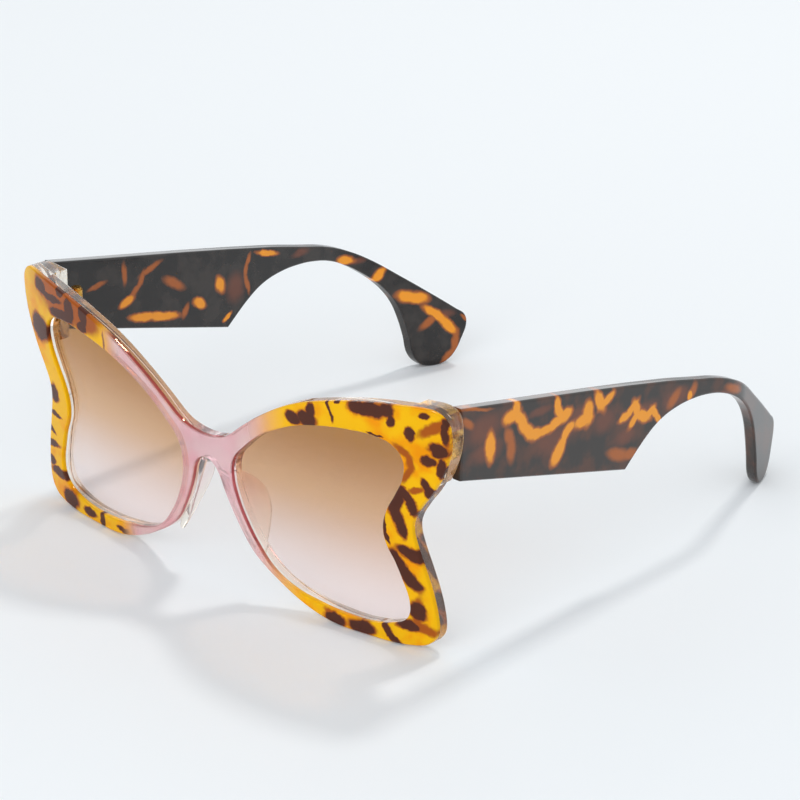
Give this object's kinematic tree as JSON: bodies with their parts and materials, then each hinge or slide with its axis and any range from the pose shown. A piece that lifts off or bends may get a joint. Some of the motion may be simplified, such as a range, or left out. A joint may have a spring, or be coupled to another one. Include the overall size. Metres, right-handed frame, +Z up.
{
  "type": "butterfly sunglasses",
  "caption": "Oversized sunglasses with a wing-shaped layered front, gradient lenses and wide flat temples that fold inwards on barrel hinges.",
  "frame": {"origin": "under the middle of the open glasses, on the surface that they stand on", "axes": "+X to the wearer's left-hand side as seen from in front, that is across the face; -Y the way the glasses look; +Z up"},
  "size_m": [0.1464, 0.1544, 0.0646],
  "materials": {
    "front_tortoise": "polished tortoise plastic, amber with dark brown blotches, fading to rose at the bridge",
    "clear_plastic": "polished clear plastic",
    "lens": "tinted lens, brown at the top fading to pale pink",
    "temple_tortoise": "polished dark tortoise plastic with amber blotches",
    "hinge_metal": "gold-coloured plated metal"
  },
  "bodies": {
    "front": {"front_face": "front_tortoise", "clear_frame": "clear_plastic", "lens_left": "lens", "lens_right": "lens", "front_hinge_left": "hinge_metal", "front_hinge_right": "hinge_metal", "hinge_screw_left": "hinge_metal", "hinge_screw_right": "hinge_metal"},
    "right_temple": {"temple_right": "temple_tortoise", "temple_hinge_right": "hinge_metal"},
    "left_temple": {"temple_left": "temple_tortoise", "temple_hinge_left": "hinge_metal"}
  },
  "joints": [
    {"name": "right_temple_fold", "type": "hinge", "parent": "front", "child": "right_temple", "pos_m": [0.0646, -0.05795, 0.0534], "axis": [0, 0, 1], "range_deg": [0, 86]},
    {"name": "left_temple_fold", "type": "hinge", "parent": "front", "child": "left_temple", "pos_m": [-0.0646, -0.05795, 0.0534], "axis": [0, 0, -1], "range_deg": [0, 70]}
  ]
}
